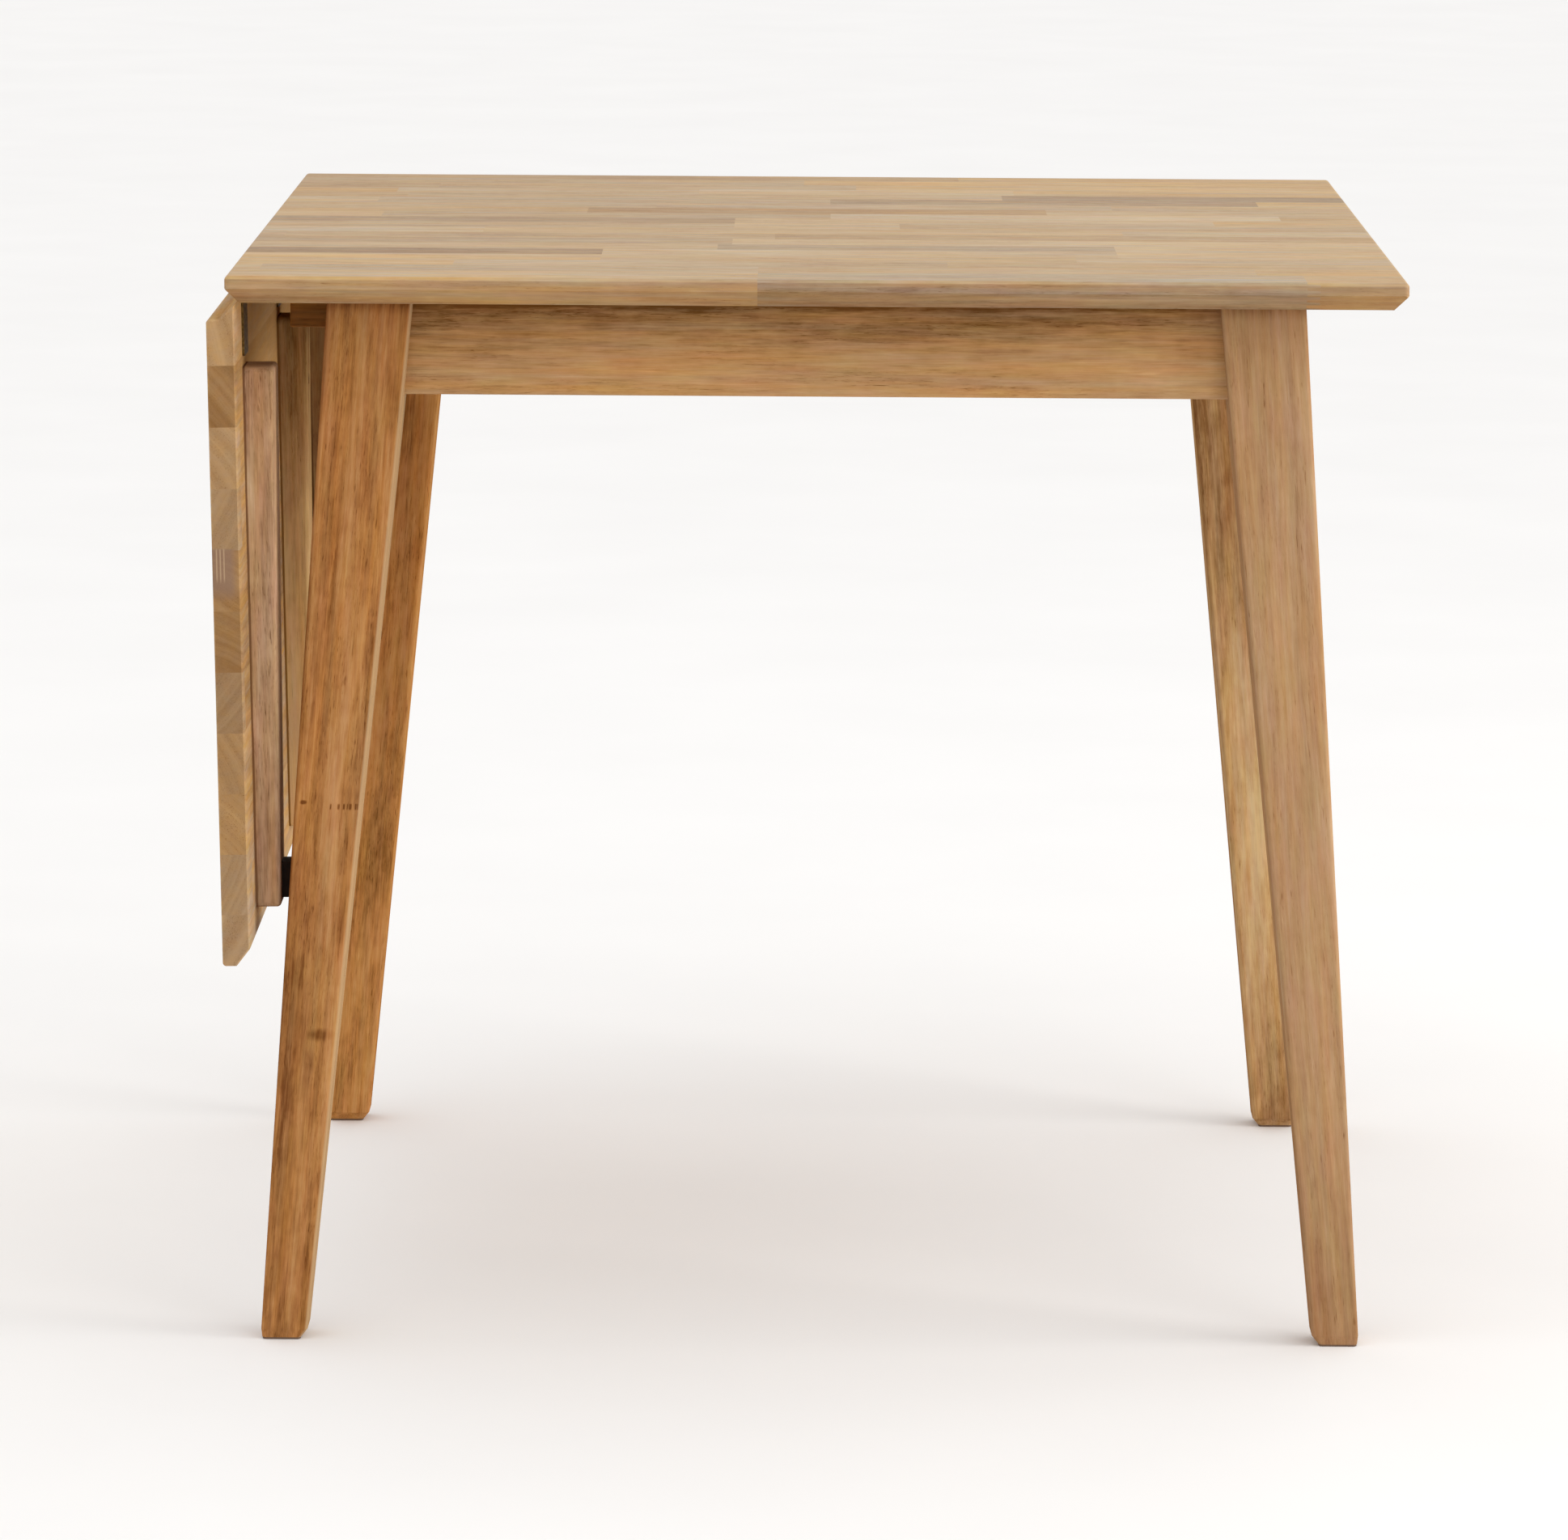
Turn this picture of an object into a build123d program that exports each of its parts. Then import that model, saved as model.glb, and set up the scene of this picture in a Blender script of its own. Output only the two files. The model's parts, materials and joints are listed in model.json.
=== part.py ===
from build123d import *
import math
import os

# Drop leaf table, in millimetres. X runs across the table, with the hanging leaf on the -X side.
# Y runs along the leaf's length, and Z is up from the floor. The origin is on the floor, under
# the middle of the whole table with its leaf hanging.

# Tabletop
TOP_SIZE = 800.0
TOP_HEIGHT = 745.0
TOP_THICK = 19.0
EDGE_FLAT = 8.5
BEVEL_IN = 9.5
TOP_ARRIS = 3.0
CORNER_R = 3.5

# Leaf, drawn raised and then hung
LEAF_WIDTH = 445.0
LEAF_LENGTH = 800.0
LEAF_GAP = 0.8
LEAF_ARRIS = 2.5
LEAF_BEVEL_RUN = 12.0
LEAF_BEVEL_RISE = 9.5
LEAF_DROP = 91.1

# Hinge line, just below the underside of the top
UNDER = TOP_HEIGHT - TOP_THICK
PIVOT_X = -392.0
PIVOT_Z = UNDER - 1.6

# Battens across the leaf
BATTEN_Y = (-320.0, 0.0, 320.0)
BATTEN_WIDE = 40.0
BATTEN_START = 48.0
BATTEN_END = 424.5
BATTEN_DEEP_START = 21.7
BATTEN_DEEP_END = 17.4
BATTEN_ARRIS = 3.0
BATTEN_CORNER = 5.0

# Legs, splayed and tapered both ways
LEG_TOP = 59.0
LEG_FOOT = 32.0
LEG_TOP_X = 305.6
LEG_TOP_Y = 299.3
LEG_FOOT_X = 366.0
LEG_FOOT_Y = 353.9
LEG_ARRIS = 3.0
FOOT_OUTER_CUT = 1.0
FOOT_INNER_CUT = 4.0
FOOT_CUT_HIGH = 6.0
GLIDE_HEIGHT = 1.5

# Aprons
APRON_DEEP = 70.0
APRON_THICK = 20.0
APRON_FACE_X = 325.0
APRON_FACE_Y = 318.0

# Corner braces and hanger bolts
BRACE_FACE_SUM = LEG_TOP_X + LEG_TOP_Y - LEG_TOP - 8.5
BRACE_THICK = 22.0
BRACE_LOW = UNDER - 68.0
BRACE_HIGH = UNDER - 38.0
BOLT_R = 4.0
BOLT_Z = UNDER - 53.0

# Pull-out bearers
BEARER_Y = 225.0
BEARER_WIDE = 24.0
BEARER_LOW = UNDER - 33.0
BEARER_HIGH = UNDER - 0.4
BEARER_OUT = -367.0
BEARER_IN = 215.0
GUIDE_X = (-200.0, 160.0)
GUIDE_LONG = 60.0
GUIDE_WALL = 18.0
GUIDE_LOW = UNDER - 45.0
STOP_PIN_R = 4.0

# Hinges
WING_THICK = 1.6
WING_WIDE = 34.0
WING_LONG = 40.0
KNUCKLE_R = 3.6
KNUCKLE_MID = 12.0
PIN_R = 2.0
PIN_GAP = 0.05
KNUCKLE_GAP = 0.3
GROOVE_R = 4.1

# Moves the table so that its whole width is centred on the origin
SHIFT_X = 6.19

PIVOT = Axis((PIVOT_X, 0, PIVOT_Z), (0, 1, 0))


def block(x0, x1, y0, y1, z0, z1):
    centre = Pos((x0 + x1) / 2, (y0 + y1) / 2, (z0 + z1) / 2)
    return centre * Box(x1 - x0, y1 - y0, z1 - z0)


def rod(start, direction, radius, length):
    plane = Plane(origin=start, z_dir=direction)
    return plane.location * Cylinder(radius, length, align=(Align.CENTER, Align.CENTER, Align.MIN))


def edges_between(shape, axis, low, high, along):
    found = shape.edges().filter_by(along)
    return found.filter_by_position(axis, low, high)


def screw(start, direction, length, shank_r, head_r):
    """Countersunk cross-head wood screw, whose head lies flush at start and points along direction."""
    cone = head_r - shank_r
    outline = Polyline(
        (0, 0),
        (head_r, 0),
        (head_r, 0.3),
        (shank_r, 0.3 + cone),
        (shank_r, length - 3),
        (0, length),
        close=True,
    )
    body = revolve(Plane.XZ * make_face(outline), Axis.Z)
    arm = head_r * 1.1
    slot = head_r * 0.26
    body = body - Pos(0, 0, 0.5) * Box(arm, slot, 1.4)
    body = body - Pos(0, 0, 0.5) * Box(slot, arm, 1.4)
    return Plane(origin=start, z_dir=direction).location * body


def screw_hole(start, direction, length, shank_r, head_r):
    """The hole for one screw, 0.05 larger all round."""
    gap = 0.05
    wide = head_r + gap
    thin = shank_r + gap
    outline = Polyline(
        (0, -1),
        (wide, -1),
        (wide, 0.3 + gap),
        (thin, 0.3 + gap + wide - thin),
        (thin, length + gap),
        (0, length + gap),
        close=True,
    )
    body = revolve(Plane.XZ * make_face(outline), Axis.Z)
    return Plane(origin=start, z_dir=direction).location * body


def group(items):
    return Compound([item.solid() for item in items])


def hang(shape):
    """Turns a raised leaf piece down to where it hangs."""
    return shape.rotate(PIVOT, -LEAF_DROP)


def cut_all(shape, tools):
    for tool in tools:
        shape = shape - tool
    return shape


def make_top():
    mid = TOP_HEIGHT - EDGE_FLAT
    small = TOP_SIZE - 2 * BEVEL_IN
    upper = block(-TOP_SIZE / 2, TOP_SIZE / 2, -TOP_SIZE / 2, TOP_SIZE / 2, mid, TOP_HEIGHT)
    faces = [Pos(0, 0, UNDER) * Rectangle(small, small), Pos(0, 0, mid) * Rectangle(TOP_SIZE, TOP_SIZE)]
    slab = upper + loft(faces, ruled=True)
    uprights = slab.edges().filter_by(Axis.Z)
    slab = fillet(uprights, CORNER_R)
    rim = slab.edges().filter_by_position(Axis.Z, TOP_HEIGHT - 0.01, TOP_HEIGHT + 0.01)
    return fillet(rim, TOP_ARRIS)


def make_leaf():
    hinge_x = -TOP_SIZE / 2 - LEAF_GAP
    free_x = hinge_x - LEAF_WIDTH
    outline = Polyline(
        (hinge_x + BEVEL_IN - 0.2, UNDER),
        (hinge_x, TOP_HEIGHT - EDGE_FLAT + 0.1),
        (hinge_x, TOP_HEIGHT),
        (free_x, TOP_HEIGHT),
        (free_x, UNDER + LEAF_BEVEL_RISE),
        (free_x + LEAF_BEVEL_RUN, UNDER),
        close=True,
    )
    panel = extrude(Plane.XZ * make_face(outline), LEAF_LENGTH / 2, both=True)
    upper = panel.edges().filter_by(Axis.Y).filter_by_position(Axis.Z, TOP_HEIGHT - 0.01, TOP_HEIGHT + 0.01)
    panel = fillet(upper, LEAF_ARRIS)
    ends = [f for f in panel.faces() if abs(f.normal_at().Y) > 0.99]
    rims = [edge for face in ends for edge in face.edges()]
    return chamfer(rims, 1.0)


def make_batten(y):
    x_near = PIVOT_X - BATTEN_START
    x_far = PIVOT_X - BATTEN_END
    low_near = UNDER - BATTEN_DEEP_START
    low_far = UNDER - BATTEN_DEEP_END
    outline = Polyline(
        (x_near, UNDER),
        (x_far, UNDER),
        (x_far, low_far),
        (x_near, low_near),
        close=True,
    )
    bar = extrude(Plane.XZ * make_face(outline), BATTEN_WIDE / 2, both=True)
    bar = fillet(bar.edges().filter_by(Axis.Z), BATTEN_CORNER)
    under = bar.faces().sort_by(Axis.Z)[0]
    bar = fillet(under.edges(), BATTEN_ARRIS)
    return Pos(0, y, 0) * bar


def leg_centre(z):
    share = z / UNDER
    x = LEG_FOOT_X + (LEG_TOP_X - LEG_FOOT_X) * share
    y = LEG_FOOT_Y + (LEG_TOP_Y - LEG_FOOT_Y) * share
    return x, y


def leg_side(z):
    return LEG_FOOT + (LEG_TOP - LEG_FOOT) * z / UNDER


def foot_centre():
    """Middle of the leg's lower end, which is cut back more on its two inner sides."""
    x, y = leg_centre(GLIDE_HEIGHT)
    shift = (FOOT_INNER_CUT - FOOT_OUTER_CUT) / 2
    return x + shift, y + shift


def make_leg(sx, sy):
    foot_x, foot_y = foot_centre()
    foot_side = leg_side(GLIDE_HEIGHT) - FOOT_INNER_CUT - FOOT_OUTER_CUT
    low = GLIDE_HEIGHT + FOOT_CUT_HIGH
    sections = [Pos(sx * foot_x, sy * foot_y, GLIDE_HEIGHT) * RectangleRounded(foot_side, foot_side, LEG_ARRIS)]
    for z in (low, UNDER):
        x, y = leg_centre(z)
        sections.append(Pos(sx * x, sy * y, z) * RectangleRounded(leg_side(z), leg_side(z), LEG_ARRIS))
    return loft(sections, ruled=True)


def make_apron_y(side):
    """Front or rear apron, long enough to run into both legs, which then cut it back."""
    y_out = side * APRON_FACE_Y
    y_in = side * (APRON_FACE_Y - APRON_THICK)
    reach = LEG_TOP_X - 5.0
    bar = block(-reach, reach, min(y_out, y_in), max(y_out, y_in), UNDER - APRON_DEEP, UNDER)
    low = edges_between(bar, Axis.Z, UNDER - APRON_DEEP - 1, UNDER - APRON_DEEP + 1, Axis.X)
    return fillet(low, 1.5)


def make_apron_x(side):
    """Left or right apron, long enough to run into both legs, which then cut it back."""
    x_out = side * APRON_FACE_X
    x_in = side * (APRON_FACE_X - APRON_THICK)
    reach = LEG_TOP_Y - 5.0
    bar = block(min(x_out, x_in), max(x_out, x_in), -reach, reach, UNDER - APRON_DEEP, UNDER)
    low = edges_between(bar, Axis.Z, UNDER - APRON_DEEP - 1, UNDER - APRON_DEEP + 1, Axis.Y)
    return fillet(low, 1.5)


def make_brace(sx, sy):
    in_y = APRON_FACE_Y - APRON_THICK
    in_x = APRON_FACE_X - APRON_THICK
    inner_sum = BRACE_FACE_SUM - BRACE_THICK * math.sqrt(2)
    outline = Polyline(
        (sx * (BRACE_FACE_SUM - in_y), sy * in_y),
        (sx * in_x, sy * (BRACE_FACE_SUM - in_x)),
        (sx * in_x, sy * (inner_sum - in_x)),
        (sx * (inner_sum - in_y), sy * in_y),
        close=True,
    )
    face = make_face(outline)
    solid = extrude(face, BRACE_HIGH - BRACE_LOW, dir=(0, 0, 1))
    return Pos(0, 0, BRACE_LOW) * solid


def diagonal_point(sx, sy, total, z):
    offset = LEG_TOP_X - LEG_TOP_Y
    return (sx * (total + offset) / 2, sy * (total - offset) / 2, z)


def hinge_wings(y):
    """Table wing, leaf wing and pin of one hinge with its leaf raised."""
    half = WING_WIDE / 2
    mid = KNUCKLE_MID / 2
    side = half - mid
    outer_y = (y - half + side / 2, y + half - side / 2)
    start = (PIVOT_X, y - half, PIVOT_Z)
    whole = rod(start, (0, 1, 0), KNUCKLE_R, WING_WIDE)
    middle = rod((PIVOT_X, y - mid, PIVOT_Z), (0, 1, 0), KNUCKLE_R, KNUCKLE_MID)
    bore = rod((PIVOT_X, y - half - 1, PIVOT_Z), (0, 1, 0), PIN_R + PIN_GAP, WING_WIDE + 2)
    reach = KNUCKLE_R + KNUCKLE_GAP
    z0 = PIVOT_Z
    z1 = PIVOT_Z + WING_THICK
    table = block(PIVOT_X, PIVOT_X + WING_LONG, y - half, y + half, z0, z1)
    table = fillet(table.edges().filter_by(Axis.Z).sort_by(Axis.X)[-2:], 4)
    gap_low = y - mid - KNUCKLE_GAP / 2
    gap_high = y + mid + KNUCKLE_GAP / 2
    table = table + whole
    table = table - block(PIVOT_X - 9, PIVOT_X + reach, gap_low, gap_high, z0 - 9, z1 + 9)
    table = table - bore
    leaf = block(PIVOT_X - WING_LONG - 1, PIVOT_X, y - half, y + half, z0, z1)
    leaf = fillet(leaf.edges().filter_by(Axis.Z).sort_by(Axis.X)[:2], 4)
    for centre in outer_y:
        low = centre - side / 2 - KNUCKLE_GAP / 2
        high = centre + side / 2 + KNUCKLE_GAP / 2
        leaf = leaf - block(PIVOT_X - reach, PIVOT_X + 9, low, high, z0 - 9, z1 + 9)
    leaf = leaf + middle
    leaf = leaf - bore
    pin = rod(start, (0, 1, 0), PIN_R, WING_WIDE)
    return table, leaf, pin


def export(shape, name):
    moved = Pos(SHIFT_X, 0, 0) * shape
    moved.label = name
    export_step(moved, "parts/" + name + ".step")


os.makedirs("parts", exist_ok=True)

CORNERS = {"front_left": (-1, -1), "front_right": (1, -1), "rear_left": (-1, 1), "rear_right": (1, 1)}
PLACES = {"front": -1, "rear": 1}
HINGES = {"front": BATTEN_Y[0], "middle": BATTEN_Y[1], "rear": BATTEN_Y[2]}
UP = (0, 0, 1)

# Hinge screws: distance from the hinge line and offset along it
WING_SCREWS = ((15.0, -10.0), (15.0, 10.0), (32.0, 0.0))
table_hinge_screws = []
table_hinge_holes = []
leaf_hinge_screws = []
leaf_hinge_holes = []
for hinge_y in HINGES.values():
    for out, along in WING_SCREWS:
        spot = (PIVOT_X + out, hinge_y + along, PIVOT_Z)
        table_hinge_screws.append(screw(spot, UP, 14, 1.75, 3.6))
        table_hinge_holes.append(screw_hole(spot, UP, 14, 1.75, 3.6))
        spot = (PIVOT_X - out, hinge_y + along, PIVOT_Z)
        leaf_hinge_screws.append(screw(spot, UP, 14, 1.75, 3.6))
        leaf_hinge_holes.append(screw_hole(spot, UP, 14, 1.75, 3.6))

# Batten screws, from the batten's underside into the leaf
BATTEN_SCREW_AT = (95.0, 235.0, 372.0)
batten_screws = []
batten_holes = []
for batten_y in BATTEN_Y:
    for out in BATTEN_SCREW_AT:
        share = (out - BATTEN_START) / (BATTEN_END - BATTEN_START)
        deep = BATTEN_DEEP_START + (BATTEN_DEEP_END - BATTEN_DEEP_START) * share
        spot = (PIVOT_X - out, batten_y, UNDER - deep + 0.6)
        batten_screws.append(screw(spot, UP, deep + 11, 2.0, 4.2))
        batten_holes.append(screw_hole(spot, UP, deep + 11, 2.0, 4.2))

# Legs, dowels and hanger bolts
legs = {name: make_leg(sx, sy) for name, (sx, sy) in CORNERS.items()}
dowels = []
dowel_holes = []
bolts = []
bolt_holes = []
washers = []
nuts = []
braces = {}
brace_inner = BRACE_FACE_SUM - BRACE_THICK * math.sqrt(2)
for name, (sx, sy) in CORNERS.items():
    for dowel_z in (UNDER - 55.0, UNDER - 39.0):
        mid_y = APRON_FACE_Y - APRON_THICK / 2
        mid_x = APRON_FACE_X - APRON_THICK / 2
        leg_x, leg_y = leg_centre(dowel_z)
        half_leg = leg_side(dowel_z) / 2
        start = (sx * (leg_x - half_leg - 14), sy * mid_y, dowel_z)
        dowels.append(rod(start, (sx, 0, 0), 4.0, 29))
        dowel_holes.append(rod((start[0] - sx * 0.5, start[1], start[2]), (sx, 0, 0), 4.05, 30))
        start = (sx * mid_x, sy * (leg_y - half_leg - 11), dowel_z)
        dowels.append(rod(start, (0, sy, 0), 4.0, 26))
        dowel_holes.append(rod((start[0], start[1] - sy * 0.5, start[2]), (0, sy, 0), 4.05, 27))
    slope = (sx, sy, 0)
    start = diagonal_point(sx, sy, brace_inner - 22, BOLT_Z)
    bolts.append(rod(start, slope, BOLT_R, 72))
    bolt_holes.append(rod(start, slope, BOLT_R + 0.1, 72.5))
    start = diagonal_point(sx, sy, brace_inner - 1.6 * math.sqrt(2), BOLT_Z)
    washer = rod(start, slope, 9.0, 1.6) - rod(start, slope, BOLT_R + 0.2, 1.6)
    washers.append(washer)
    start = diagonal_point(sx, sy, brace_inner - 8.1 * math.sqrt(2), BOLT_Z)
    hexagon = extrude(RegularPolygon(7.5, 6) - Circle(BOLT_R + 0.05), 6.5)
    nuts.append(Plane(origin=start, z_dir=slope).location * hexagon)
    braces[name] = make_brace(sx, sy)

# Aprons
aprons = {
    "apron_front": make_apron_y(-1),
    "apron_rear": make_apron_y(1),
    "apron_left": make_apron_x(-1),
    "apron_right": make_apron_x(1),
}
aprons = {name: cut_all(apron, legs.values()) for name, apron in aprons.items()}
for side in PLACES.values():
    y_mid = side * BEARER_Y
    reach = BEARER_WIDE / 2 + 0.5
    notch = block(-330, -300, y_mid - reach, y_mid + reach, BEARER_LOW - 0.6, UNDER + 1)
    aprons["apron_left"] = aprons["apron_left"] - notch

# Steel brackets that hold the top to the aprons
BRACKETS = (
    (-60, -1, 0), (60, -1, 0), (-60, 1, 0), (60, 1, 0),
    (-80, 0, -1), (80, 0, -1), (-80, 0, 1), (80, 0, 1),
)
brackets = []
bracket_screws = []
bracket_holes = []
for along, sy, sx in BRACKETS:
    face = APRON_FACE_Y - APRON_THICK if sy else APRON_FACE_X - APRON_THICK
    upright = block(-15, 15, -face, -face + 2, UNDER - 24, UNDER)
    shelf = block(-15, 15, -face, -face + 24, UNDER - 2, UNDER)
    angle = upright + shelf
    rounds = angle.edges().filter_by(Axis.Z).sort_by(Axis.Y)[-2:]
    angle = fillet(rounds, 5)
    side_spot = (0, -face + 2, UNDER - 14)
    up_spot = (0, -face + 14, UNDER - 2)
    angle = angle - screw_hole(side_spot, (0, -1, 0), 14, 1.75, 3.6)
    angle = angle - screw_hole(up_spot, UP, 13, 1.75, 3.6)
    pair = [screw(side_spot, (0, -1, 0), 14, 1.75, 3.6), screw(up_spot, UP, 13, 1.75, 3.6)]
    holes = [screw_hole(side_spot, (0, -1, 0), 14, 1.75, 3.6), screw_hole(up_spot, UP, 13, 1.75, 3.6)]
    if sy:
        turn = 0 if sy < 0 else 180
    else:
        turn = -90 if sx < 0 else 90
    shift = Pos(along, 0, 0) if sy else Pos(0, along, 0)
    place = shift * Rot(0, 0, turn)
    brackets.append(place * angle)
    bracket_screws.extend([place * item for item in pair])
    bracket_holes.extend([place * item for item in holes])

# Pull-out bearers, their guides and stop pins
bearers = {}
stop_pins = {}
guides = {}
guide_screws = []
guide_holes = []
for place_name, side in PLACES.items():
    y_mid = side * BEARER_Y
    half = BEARER_WIDE / 2
    bar = block(BEARER_OUT, BEARER_IN, y_mid - half, y_mid + half, BEARER_LOW, BEARER_HIGH)
    bar = fillet(bar.edges().filter_by(Axis.X), 1.5)
    bar = chamfer(bar.faces().sort_by(Axis.X)[0].edges(), 0.8)
    pin_x = GUIDE_X[1] - GUIDE_LONG / 2 - STOP_PIN_R - 0.5
    pin_start = (pin_x, y_mid, BEARER_LOW - 9)
    stop_pins[place_name] = rod(pin_start, UP, STOP_PIN_R, 31)
    bar = bar - rod(pin_start, UP, STOP_PIN_R + 0.05, 31.5)
    bearers[place_name] = bar
    for index, guide_x in enumerate(GUIDE_X):
        wide = half + 0.4 + GUIDE_WALL
        x0 = guide_x - GUIDE_LONG / 2
        x1 = guide_x + GUIDE_LONG / 2
        guide = block(x0, x1, y_mid - wide, y_mid + wide, GUIDE_LOW, UNDER)
        guide = chamfer(edges_between(guide, Axis.Z, GUIDE_LOW - 1, GUIDE_LOW + 1, Axis.X), 3)
        slot = block(x0 - 1, x1 + 1, y_mid - half - 0.4, y_mid + half + 0.4, BEARER_LOW - 0.5, UNDER + 1)
        guide = guide - slot
        for dx in (-18.0, 18.0):
            for dy in (-wide + 8.5, wide - 8.5):
                spot = (guide_x + dx, y_mid + dy, GUIDE_LOW)
                guide_screws.append(screw(spot, UP, 56, 2.0, 4.0))
                guide_holes.append(screw_hole(spot, UP, 56, 2.0, 4.0))
        near = guide_holes[-4:]
        guides[place_name + ("_outer" if index == 0 else "_inner")] = cut_all(guide, near)

# Rubber bumpers on the outer battens, cut to lie against the legs
BUMPER_NEAR = 394.0
BUMPER_FAR = 419.0
BUMPER_WIDE = 20.0
bumpers = {}
splay = math.degrees(math.atan2(LEG_FOOT_X + LEG_FOOT / 2 - LEG_TOP_X - LEG_TOP / 2, UNDER))
for place_name, side in PLACES.items():
    y_mid = side * -BATTEN_Y[0]
    x_near = PIVOT_X - BUMPER_NEAR
    x_far = PIVOT_X - BUMPER_FAR
    share = (BUMPER_NEAR - BATTEN_START) / (BATTEN_END - BATTEN_START)
    deep = BATTEN_DEEP_START + (BATTEN_DEEP_END - BATTEN_DEEP_START) * share
    slope = (BATTEN_DEEP_START - BATTEN_DEEP_END) / (BATTEN_END - BATTEN_START)
    z_near = UNDER - deep
    z_far = z_near + slope * (BUMPER_FAR - BUMPER_NEAR)
    outline = Polyline((x_near, z_near), (x_far, z_far), (x_far, z_far - 12), (x_near, z_near - 12), close=True)
    pad = extrude(Plane.XZ * make_face(outline), BUMPER_WIDE / 2, both=True)
    pad = hang(Pos(0, y_mid, 0) * pad)
    foot_x = -LEG_FOOT_X - LEG_FOOT / 2 - 0.1
    wall = Pos(foot_x, y_mid, 0) * Rot(0, splay, 0) * Pos(100, 0, 400) * Box(200, 60, 900)
    pad = pad - wall
    bumpers[place_name] = pad

# Tabletop and leaf with their holes and hinge grooves
top = make_top()
leaf = make_leaf()
hinge_parts = {}
for name, hinge_y in HINGES.items():
    wing_table, wing_leaf, pin = hinge_wings(hinge_y)
    hinge_parts[name] = (wing_table, wing_leaf, pin)
    groove = rod((PIVOT_X, hinge_y - WING_WIDE / 2 - 0.5, PIVOT_Z), (0, 1, 0), GROOVE_R, WING_WIDE + 1)
    top = top - groove
    leaf = leaf - groove
top = cut_all(top, table_hinge_holes + bracket_holes + guide_holes)
leaf = cut_all(leaf, leaf_hinge_holes + batten_holes)
export(top, "tabletop")
export(hang(leaf), "leaf_panel")

for name, (wing_table, wing_leaf, pin) in hinge_parts.items():
    number = list(HINGES).index(name) * 3
    wing_table = cut_all(wing_table, table_hinge_holes[number:number + 3])
    wing_leaf = cut_all(wing_leaf, leaf_hinge_holes[number:number + 3])
    export(wing_table, "hinge_" + name + "_table_wing")
    export(hang(wing_leaf), "hinge_" + name + "_leaf_wing")
    export(pin, "hinge_" + name + "_pin")
export(group(table_hinge_screws), "hinge_screws_table")
export(group([hang(item) for item in leaf_hinge_screws]), "hinge_screws_leaf")

for index, (name, batten_y) in enumerate(HINGES.items()):
    holes = batten_holes[index * 3:index * 3 + 3]
    export(hang(cut_all(make_batten(batten_y), holes)), "batten_" + name)
export(group([hang(item) for item in batten_screws]), "batten_screws")
for name, pad in bumpers.items():
    export(pad, "bumper_" + name)

glides = []
glide_side = LEG_FOOT - FOOT_INNER_CUT - FOOT_OUTER_CUT - 0.4
for name, (sx, sy) in CORNERS.items():
    x, y = foot_centre()
    pad = extrude(RectangleRounded(glide_side, glide_side, LEG_ARRIS), GLIDE_HEIGHT)
    pad = chamfer(pad.edges().filter_by_position(Axis.Z, -0.01, 0.01), 0.4)
    nail = rod((sx * x, sy * y, GLIDE_HEIGHT - 0.5), UP, 1.5, 14)
    nail_hole = rod((sx * x, sy * y, GLIDE_HEIGHT - 0.5), UP, 1.55, 14.5)
    glides.append(Pos(sx * x, sy * y, 0) * pad + nail)
    leg = cut_all(legs[name], [nail_hole] + bolt_holes + dowel_holes)
    export(leg, "leg_" + name)
    export(cut_all(braces[name], bolt_holes), "brace_" + name)
export(group(glides), "foot_glides")
export(group(dowels), "apron_dowels")
export(group(bolts), "hanger_bolts")
export(group(washers), "hanger_washers")
export(group(nuts), "hanger_nuts")

for name, apron in aprons.items():
    export(cut_all(apron, dowel_holes + bracket_holes), name)
export(group(brackets), "top_brackets")
export(group(bracket_screws), "bracket_screws")

for name in PLACES:
    export(bearers[name], "bearer_" + name)
    export(stop_pins[name], "stop_pin_" + name)
for name, guide in guides.items():
    export(guide, "guide_" + name)
export(group(guide_screws), "guide_screws")
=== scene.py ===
import json
import math
import bpy
from mathutils import Matrix, Vector


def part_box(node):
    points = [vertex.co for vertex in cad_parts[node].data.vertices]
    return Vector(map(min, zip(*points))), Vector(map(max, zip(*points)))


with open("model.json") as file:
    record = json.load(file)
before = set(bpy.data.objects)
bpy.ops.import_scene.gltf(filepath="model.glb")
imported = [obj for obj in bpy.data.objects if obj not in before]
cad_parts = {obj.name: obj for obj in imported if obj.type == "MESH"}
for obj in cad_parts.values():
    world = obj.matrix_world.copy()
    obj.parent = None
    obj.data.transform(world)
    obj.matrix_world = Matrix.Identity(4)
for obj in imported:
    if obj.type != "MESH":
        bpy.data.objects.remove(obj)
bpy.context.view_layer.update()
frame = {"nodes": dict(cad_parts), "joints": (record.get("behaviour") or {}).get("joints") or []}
scene = bpy.context.scene
nodes = frame["nodes"]

# ---------------------------------------------------------------- numbers
HINGE = next(j for j in frame["joints"] if j["name"] == "leaf_lift")
PIVOT = Vector(HINGE["pos_m"])
TOP_LOW, TOP_HIGH = (Vector(c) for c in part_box("tabletop"))
TOP_X = (TOP_LOW.x + TOP_HIGH.x) / 2
HANG_TILT = math.radians(HINGE["range_deg"][1] - 90.0)
# The glued staves, in metres
HALF_TOP = 0.4
STAVE = 0.0396
FINGER_PITCH = 0.0021
FINGER_LENGTH = 0.009
FINGERED_FROM = 0.7
LEAF_STAVE = 0.042
LEAF_STAVE_LENGTH = 0.36
LEAF_FIRST = 0.0019
# The front end and the inner face of the leaf, along and through it, and its grey patch, across it
FRONT_END = (-0.3940, -0.3970)
INNER_FACE = (-0.0030, -0.0018)
PATCH_START = (-0.1640, -0.1665)
PATCH_END = (-0.2050, -0.1900)
LINES_END = (-0.1900, -0.1840)
LINE_PLACES = (-0.0175, -0.0150, -0.0125)
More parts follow.
